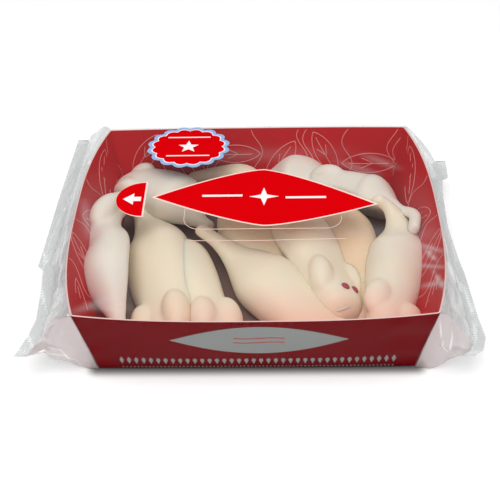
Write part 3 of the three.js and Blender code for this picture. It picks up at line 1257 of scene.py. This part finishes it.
filmEnds = {
    "left": {
        "side": -1,
        "stations": (-113, -82, -10, 70, 150),  # how far back the seal is at even shares of it
        # The seal's outer edge, as x for each y
        "edge": [
            (-163, -113), (-156.5, -92), (-154, -77), (-155.5, -48), (-158, -24), (-162.4, -19), (-161.5, 2),
            (-160, 63), (-158, 110), (-156, 150),
        ],
        # Painted highlights: lines where the film turns clear, so the bright paper shows through as glints
        "clear": [((-158, -36), (-149, -66)), ((-160, -4), (-157, -16)), ((-157, -92), (-151, -104))],
        # White creases in the tucked-in front, as how far out and how far above its middle
        "tucks": [((46, -12), (20, -10)), ((22, -2), (15, -27)), ((22, -2), (32, 6))],
    },
    "right": {
        "side": 1,
        "stations": (-115, -92, -30, 30, 112),
        "edge": [
            (146, -115), (152.5, -110), (156, -98), (154, -78), (151.5, -31), (149.5, -14), (147, 23),
            (148.5, 60), (151, 85), (156, 88), (157, 112),
        ],
        "clear": [((141, -18), (146, -52)), ((147, -42), (151, -74)), ((150, -84), (147, -104))],
        "tucks": [((4, 22), (14, 8)), ((22, 20), (34, -4)), ((18, 6), (28, -13))],
    },
}


def sealCurve(stations, edge):
    # The seal's outer edge as a function of a share from 0 at the front to 1 at the back
    xs, ys = np.array(edge, float).T

    def point(share):
        share = np.clip(np.asarray(share, float), 0, 1)
        y = np.interp(share, np.linspace(0, 1, len(stations)), stations)
        return np.stack([np.interp(y, ys, xs), y], -1)

    return point


def sectionRing():
    # (deep, level) round a section of the film: top, back, bottom, front
    long = np.linspace(-1, 1, film["stepsLong"] + 1)[:-1]
    tall = np.linspace(1, -1, film["stepsTall"] + 1)[:-1]
    sides = [(long, 1), (1, tall), (-long, -1), (-1, -tall)]
    return np.concatenate([np.stack(np.broadcast_arrays(deep, level), -1) for deep, level in sides])


def sheetHeight(level):
    # level runs from -1 at the base to 1 at the rim
    return heightAt((level + 1) / 2) + film["off"] * level


def folds(points, seed, pitches, depth, spread=1.0):
    # Sharp creases in random directions that come and go across the sheet
    dice = np.random.default_rng(seed)
    total = np.zeros(len(points))
    for pitch in pitches:
        direction = dice.normal(size=3) * (1, spread, 1)
        direction /= np.linalg.norm(direction)
        across = dice.normal(size=3)
        phase, sway = dice.uniform(0, 6.28, 2)
        t = points @ direction / pitch + phase + 0.25 * np.sin(points @ across / (pitch * 2.2) + sway)
        ridge = 1 - 4 * np.abs(t % 1 - 0.5)
        strength = 0.5 + 0.5 * np.sin(points @ dice.normal(size=3) / (pitch * 3) + sway)
        total += depth * pitch * ridge * strength**2
    return total


def creaseStreaks(points, seed):
    # From -1 to 1: how milky the film is along the long streaks that run beside its edge
    dice = np.random.default_rng(seed)
    total = np.zeros(len(points))
    for pitch in (4.7, 9.1, 17.0):
        slope, phase = dice.normal() * 0.12, dice.uniform(0, 6.28)
        t = 2 * math.pi * (points[:, 0] + slope * points[:, 1]) / pitch + phase
        breaks = np.sin(points[:, 1] / (pitch * 2.5) + phase + 0.3 * np.sin(points[:, 1] / 9))
        total += np.sin(t + 0.8 * breaks) ** 3 * (0.4 + 0.6 * breaks**2)
    return np.clip(total / 1.6, -1, 1)


def nearLines(points, lines, width):
    # From 0 to 1: how close each point is, seen from above, to a line of some width, which fades at its ends
    total = np.zeros(len(points))
    for start, end in lines:
        start, run = np.array(start, float), np.array(end, float) - start
        share = np.clip((points[:, :2] - start) @ run / (run @ run), 0, 1)
        away = np.linalg.norm(points[:, :2] - start - share[:, None] * run, axis=1)
        total += bell(away / width) * (0.35 + 0.65 * np.sin(math.pi * share))
    return np.minimum(total, 1)


def ringSheet(name, rows, displace, haze, redReflection):
    # A sheet through rows of section rings, moved along its normals
    count, points = len(rows[0]), np.concatenate(rows)
    faces = []
    for row in range(len(rows) - 1):
        faces += bandFaces(count, (row + 1) * count, row * count)
    made = meshObject(name, points, faces, [clearFilm])
    normals = np.empty(len(points) * 3)
    made.data.vertices.foreach_get("normal", normals)
    moved = points + normals.reshape(-1, 3) * displace[:, None]
    made.data.vertices.foreach_set("co", (moved * millimetre).ravel())
    addValues(made, "haze", haze)
    addValues(made, "redReflection", redReflection)
    made.data.update()
    return made


sleeveLook = {
    "calm": 0.05,  # share of the folds' depth on the top and under the tray
    "wallCalm": 0.5,  # and beside the front and back walls, where they meet the ends
    "wallFrom": (70, 118),  # X where those folds start, and where they are full
    "pitches": (17, 23, 31, 12),
    "depth": 0.03,
    "haze": 0.003,
    "topHaze": 0.016,
}


def makeSleeve():
    ring = sectionRing()
    deep, level = ring.T
    rows = []
    for across in np.linspace(-1, 1, film["stepsAcross"]):
        spot = outlinePoint(across, deep, (level + 1) / 2, 0, film["off"])
        rows.append(np.column_stack([spot, sheetHeight(level)]))
    look, points, levels = sleeveLook, np.concatenate(rows), np.tile(level, len(rows))
    nearEnd = smoothRise(np.abs(points[:, 0]), *look["wallFrom"])
    wall, onTop = (np.abs(levels) < 0.98) & (np.abs(levels) > 0.0), levels > 0.99
    calm = np.where(wall, look["wallCalm"] * nearEnd, look["calm"])
    displace = np.clip(folds(points, 11, look["pitches"], look["depth"]) * calm, -0.3, 0.4)
    haze = np.where(onTop, look["topHaze"], look["haze"])
    # painted highlights: milky lines drawn on the top sheet
    for width, strength, lines in film["paintedGlints"]:
        haze = haze + strength * nearLines(points, lines, width) * onTop
    return ringSheet("film_sleeve_sheet", rows, displace, haze, np.zeros(len(points)))


endLook = {
    "sealThick": 0.6,
    "long": ((22, 30, 41), 0.05),  # pitches and depth of the folds along the wall, and of those across it
    "across": ((16, 24, 34, 12), 0.07),
    "leastFold": 0.06,
    "tuckFold": 0.7,
    "haze": 0.32,
    "sealHaze": 0.06,
    "rootHaze": 0.1,
    "tuckHaze": 0.22,
    "streakHaze": 0.16,
    "glintClearing": 0.6,
    "creaseHaze": 0.4,
    "glintClearWidth": 1.1,
    "tuckWidth": 1.0,
    "redReflection": 0.75,
    "redReflectionFade": 0.4,
    "ribHaze": 0.4,
}


def makeFilmEnd(name, side, stations, edge, clear, tucks):
    look = endLook
    ring = sectionRing()
    deep, level = ring.T
    curve = sealCurve(stations, edge)
    fold = tray["height"] / (tray["depth"] + tray["height"])
    tuck = np.where(deep > 0, (1 - level) / 2, np.abs(level))  # the back folds in under the top sheet
    seal = curve((deep * (1 - fold * tuck) + 1) / 2)
    wall = outlinePoint(side, deep, (level + 1) / 2, 0, film["off"])
    wallHeight = sheetHeight(level)
    rootX = seal[:, 0] - side * film["sealWidth"]
    sealZ = film["sealHeight"] + look["sealThick"] / 2 * level
    rows, shares = [], []
    for share in np.linspace(0, 1, film["stepsOut"]):
        lift = share ** (1 + film["droop"] * np.maximum(0, -level) + film["swell"] * np.maximum(0, level))
        x = wall[:, 0] * (1 - share) + rootX * share
        y = wall[:, 1] * (1 - share) + seal[:, 1] * share
        z = wallHeight * (1 - lift) + sealZ * lift
        rows.append(np.column_stack([x, y, z]))
        shares.append(np.full(len(ring), share))
    tooth = film["tooth"] * (np.arange(len(ring)) % 2)
    for out in np.linspace(0, 1, film["stepsSeal"])[1:]:
        x = rootX + side * (film["sealWidth"] - tooth * (out == 1)) * out
        rows.append(np.column_stack([x, seal[:, 1], sealZ]))
        shares.append(np.full(len(ring), 1 + out))
    if side < 0:
        rows, shares = rows[::-1], shares[::-1]
    points, share = np.concatenate(rows), np.concatenate(shares)
    levels = np.tile(level, len(rows))
    free = np.sin(math.pi * np.clip(share, 0, 1)) ** 0.7
    pulled = points * (1.0, 0.16, 1.0)  # long creases run along the wall
    displace = folds(pulled, 21 + side, *look["long"], 0.15)
    frontward = smoothRise(-points[:, 1], 10, 75) * smoothRise(levels, -0.2, 0.9)
    displace += folds(points, 31 + side, *look["across"]) * (look["leastFold"] + frontward)
    sealed = share > 1
    gusset = (np.tile(deep, len(rows)) == -1) & (share < 1)
    across = np.column_stack([share * film["tuckReach"][0], levels * film["tuckReach"][1]])
    creased = nearLines(across, tucks, look["tuckWidth"]) * gusset
    displace = np.clip(displace * free + look["tuckFold"] * creased * free, -2.4, 2.8)
    haze = look["haze"] + look["rootHaze"] * bell((share - 1) * 4) + look["sealHaze"] * sealed
    haze += look["tuckHaze"] * gusset + look["streakHaze"] * creaseStreaks(points, 41 + side) * (1 - gusset)
    # painted highlights: along the clear lines the haze drops, so they read as glints
    haze -= look["glintClearing"] * nearLines(points, clear, look["glintClearWidth"]) * (1 - gusset)
    haze = np.clip(haze + look["creaseHaze"] * creased, 0.02, 0.95)
    # painted red reflection of the card on the tucked-in front, fading outward
    redReflection = look["redReflection"] * gusset * (1 - look["redReflectionFade"] * np.clip(share, 0, 1)) * (1 - creased)
    made = ringSheet(name, rows, displace, haze, redReflection)

    path = curve(np.linspace(0.02, 0.98, 120))
    middle = path - (side * film["sealWidth"] / 2, 0)
    line = np.column_stack([middle, np.full(len(path), film["sealHeight"])])
    ribs = blockRow("ribs", line, film["ribPitch"], film["ribSize"], (0, 90, 0), 6, clearFilm)
    count = len(ribs.data.vertices)
    addValues(ribs, "haze", np.full(count, look["ribHaze"]))
    addValues(ribs, "redReflection", np.zeros(count))
    return joinInto(made, [ribs])


sleeve = makeSleeve()
ends = {which: makeFilmEnd("film_end_sheet_" + which, **facts) for which, facts in filmEnds.items()}
print("film made")


filmTop = sheetHeight(1.0)
labels = {
    "plate": 0.07,
    "levels": (0.03, 0.11, 0.19),  # how far above the film each layer of ink starts
    "badgeLevels": (0.03, 0.11, 0.16, 0.22),
    "longTips": ((-78, 17), (90, 6)),
    "longTop": 52,
    "longBottom": -19,
    "badge": (-54, 84, 33, 29),
    "badgeScallops": 16,
    "flap": (-82, 15, 22),
    "arrow": ((-17, 0), (-9, 7), (-9, 2.6), (-3.5, 2.6), (-3.5, -2.6), (-9, -2.6), (-9, -7)),
    "resealBead": 0.22,
}


def plate(name, outline, low, material):
    # A thin closed plate in the shape of the outline, on the film
    count = len(outline)
    levels = (filmTop + low, filmTop + low + labels["plate"])
    points = [(x, y, level) for level in levels for x, y in outline]
    faces = [tuple(reversed(range(count))), tuple(range(count, 2 * count))]
    faces += [(i, (i + 1) % count, count + (i + 1) % count, count + i) for i in range(count)]
    return meshObject(name, points, faces, [material], smooth=False)


def lensOutline(tips, top, bottom, inset=0.0):
    # Two bowed edges that meet in a point at each tip
    (x0, y0), (x1, y1) = tips
    shrink = inset * 2.3
    t = np.linspace(0, 1, 41)
    x = x0 + shrink + (x1 - x0 - 2 * shrink) * t
    base = y0 + (y1 - y0) * t
    swell = 1 - np.abs(2 * t - 1) ** 1.35
    high, low = top - inset - (y0 + y1) / 2, bottom + inset - (y0 + y1) / 2
    upper, lower = base + high * swell, base + low * swell
    return list(zip(x, lower)) + list(zip(x[-2:0:-1], upper[-2:0:-1]))


def scallopOutline(centre, sizes, scallops, depth, inset=0.0):
    t = np.linspace(0, 2 * math.pi, scallops * 12, endpoint=False)
    wave = 1 + depth * np.abs(np.sin(t * scallops / 2)) - depth
    x = centre[0] + (sizes[0] - inset) * wave * np.cos(t)
    y = centre[1] + (sizes[1] - inset) * wave * np.sin(t)
    return list(zip(x, y))


def starOutline(x, y, radius, points=5, waist=0.42):
    t = np.linspace(0, 2 * math.pi, 2 * points, endpoint=False) + math.pi / 2
    r = np.where(np.arange(2 * points) % 2, radius * waist, radius)
    return list(zip(x + r * np.cos(t), y + r * np.sin(t)))


def barOutline(x, y, half, thick):
    low, high = y - thick / 2, y + thick / 2
    return [(x - half, low), (x + half, low), (x + half, high), (x - half, high)]


def flapOutline(inset=0.0):
    x, y, r = labels["flap"]
    t = np.linspace(math.pi / 2, 3 * math.pi / 2, 33)
    inner = r - inset
    return list(zip(x - inset + inner * np.cos(t), y + inner * np.sin(t)))


def makeLabels():
    tips, top, bottom = labels["longTips"], labels["longTop"], labels["longBottom"]
    cx, cy = (tips[0][0] + tips[1][0]) / 2, (top + bottom) / 2
    ground, field, mark = labels["levels"]
    long = [
        plate("long_pale", lensOutline(tips, top, bottom), ground, labelPale),
        plate("long_red", lensOutline(tips, top, bottom, 1.3), field, labelRed),
        plate("long_star", starOutline(cx, cy, 11, 4, 0.3), mark, labelWhite),
        plate("long_bar_left", barOutline(cx - 31, cy + 1.5, 15, 2.4), mark, labelWhite),
        plate("long_bar_right", barOutline(cx + 31, cy - 1.5, 15, 2.4), mark, labelWhite),
    ]
    x, y, wide, tall = labels["badge"]
    count = labels["badgeScallops"]
    blue, pale, red, white = labels["badgeLevels"]
    badge = [
        plate("badge_blue", scallopOutline((x, y), (wide, tall), count, 0.09), blue, labelBlue),
        plate("badge_pale", scallopOutline((x, y), (wide, tall), count, 0.09, 3.2), pale, labelWhite),
        plate("badge_red", scallopOutline((x, y), (wide, tall), count, 0.09, 4.2), red, labelRed),
        plate("badge_star", starOutline(x, y, 8.5), white, labelWhite),
        plate("badge_bar_top", barOutline(x, y + 13.5, 17, 1.3), white, labelWhite),
        plate("badge_bar_low", barOutline(x, y - 12.5, 17, 1.3), white, labelWhite),
    ]
    x, y, _ = labels["flap"]
    flap = [
        plate("flap_pale", flapOutline(), ground, labelPale),
        plate("flap_red", flapOutline(1.3), field, labelRed),
        plate("flap_arrow", [(x + u, y + v) for u, v in labels["arrow"]], mark, labelWhite),
    ]
    made = []
    sets = {"long_film_print": long, "scalloped_film_print": badge, "opening_film_print": flap}
    for name, parts in sets.items():
        piece = joinInto(parts[0], parts[1:])
        piece.name = piece.data.name = name
        made.append(fixNormals(piece))
    return made


def arcPoints(x, y, radius, first, last):
    # A bend of a line on the film, between two angles in degrees
    turns = np.radians(np.linspace(first, last, 12))
    return [(x + radius * math.cos(t), y + radius * math.sin(t)) for t in turns]


def makeResealLines():
    # The faint edge of a clear resealing label stuck on the film
    corners = arcPoints(-40, -10, 12, 180, 270) + arcPoints(50, -10, 12, 270, 360)
    lines = [[(-52, 2), *corners, (62, -8)], [(-48, -35), (0, -35.5), (64, -34)]]
    paths = [[(x, y, filmTop + 0.05) for x, y in line] for line in lines]
    return inkLines("reseal_label_edge", paths, labels["resealBead"], labelPale)


filmLabels = makeLabels()
resealEdge = makeResealLines()
print("film prints made")


for name, piece in sugarMice.items():
    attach(piece, "root")
    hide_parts("foam_mouse_" + name)
for piece in (cardTray, cornerTabs, wallPrint, *frontPieces):
    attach(piece, "root")
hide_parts("card_tray")
for piece in (sleeve, *ends.values(), *filmLabels, resealEdge):
    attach(piece, "root")
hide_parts("film_sleeve")
for which, piece in ends.items():
    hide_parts("film_end_" + which)


stage = {
    "size": 6000,
    "paper": "#f4f4f4",
    "glow": 0.22,  # the paper shines a little, as it is brighter than its light makes it
    "sky": 0.52,
    "shade": "#7c7a79",
    "shadow": 12,  # how far the contact shadow reaches from the tray's foot
    "foot": (110, 100),  # half width and half depth of what the shadow follows
    # In metres: what the lamps point at, and their names, places, sizes and watts
    "aim": (0, 0, 0.03),
    "lights": [
        ("softboxAbove", (-0.06, -0.42, 1.15), (1.1, 0.9), 10.6),
        ("softboxFront", (0.5, -1.1, 0.9), (0.5, 0.7), 0.5),
    ],
}


def makeStage():
    # White paper, greyer close to the tray's foot, where the soft contact shadow lies
    material, tree = newMaterial("whitePaperSweep")
    place = addNode(tree, "ShaderNodeTexCoord").outputs["Object"]
    apart = addNode(tree, "ShaderNodeSeparateXYZ", {"Vector": place})
    aside = addNode(tree, "ShaderNodeMath", {0: apart.outputs["X"]}, operation="ABSOLUTE")
    along = addNode(tree, "ShaderNodeMath", {0: apart.outputs["Y"]}, operation="ABSOLUTE")
    halfWide, halfDeep = (half * millimetre for half in stage["foot"])
    beyond = addNode(tree, "ShaderNodeMath", {0: aside.outputs[0], 1: halfWide}, operation="SUBTRACT")
    before = addNode(tree, "ShaderNodeMath", {0: along.outputs[0], 1: halfDeep}, operation="SUBTRACT")
    outward = addNode(tree, "ShaderNodeMath", {0: beyond.outputs[0], 1: 0.0}, operation="MAXIMUM")
    forward = addNode(tree, "ShaderNodeMath", {0: before.outputs[0], 1: 0.0}, operation="MAXIMUM")
    away = addNode(tree, "ShaderNodeCombineXYZ", {"X": outward.outputs[0], "Y": forward.outputs[0]})
    gap = addNode(tree, "ShaderNodeVectorMath", {0: away.outputs[0]}, operation="LENGTH")
    openness = addNode(
        tree,
        "ShaderNodeMapRange",
        {"Value": gap.outputs["Value"], "From Min": 0.0, "From Max": stage["shadow"] * millimetre},
        interpolation_type="SMOOTHERSTEP",
    )
    sheet = addNode(
        tree,
        "ShaderNodeMix",
        {0: openness.outputs[0], 6: linear(stage["shade"]), 7: linear(stage["paper"])},
        data_type="RGBA",
    )
    glowing = addNode(
        tree,
        "ShaderNodeMix",
        {0: openness.outputs[0], 6: linear("#000000"), 7: linear("#ffffff")},
        data_type="RGBA",
    )
    paper = addNode(
        tree,
        "ShaderNodeBsdfPrincipled",
        {
            "Base Color": sheet.outputs[2],
            "Roughness": 0.9,
            "Specular IOR Level": 0.0,
            "Emission Color": glowing.outputs[2],
            "Emission Strength": stage["glow"],
        },
    )
    addNode(tree, "ShaderNodeOutputMaterial", {"Surface": paper.outputs[0]})
    half = stage["size"] / 2
    corners = [(-half, -half, 0), (half, -half, 0), (half, half, 0), (-half, half, 0)]
    floor = meshObject("floor", corners, [(0, 1, 2, 3)], [material])

    world = bpy.data.worlds.new("studio")
    scene.world = world
    world.use_nodes = True
    world.node_tree.nodes.clear()
    sky = addNode(
        world.node_tree, "ShaderNodeBackground", {"Color": linear("#ffffff"), "Strength": stage["sky"]}
    )
    addNode(world.node_tree, "ShaderNodeOutputWorld", {"Surface": sky.outputs[0]})

    for name, spot, size, watts in stage["lights"]:
        lamp = bpy.data.lights.new(name, "AREA")
        lamp.shape, lamp.size, lamp.size_y, lamp.energy = "RECTANGLE", size[0], size[1], watts
        made = bpy.data.objects.new(name, lamp)
        made.location = spot
        made.rotation_euler = (Vector(stage["aim"]) - Vector(spot)).to_track_quat("-Z", "Y").to_euler()
        scene.collection.objects.link(made)


# The camera that was fitted to the photo, in metres and radians
view = {
    "lens": 73.92,
    "place": (0.01216, -0.59839, 0.51429),
    "turn": 0.0287,
    "down": 0.6871,
    "roll": -0.0275,
}


def makeCamera():
    lens = bpy.data.cameras.new("camera")
    lens.sensor_width, lens.lens = 36.0, view["lens"]
    lens.clip_start, lens.clip_end = 0.01, 20
    made = bpy.data.objects.new("camera", lens)
    tilt = Matrix.Rotation(math.pi / 2 - view["down"], 4, "X")
    turn = Matrix.Rotation(view["turn"], 4, "Z") @ tilt @ Matrix.Rotation(view["roll"], 4, "Z")
    made.matrix_world = Matrix.Translation(view["place"]) @ turn
    scene.collection.objects.link(made)
    scene.camera = made


makeStage()
makeCamera()
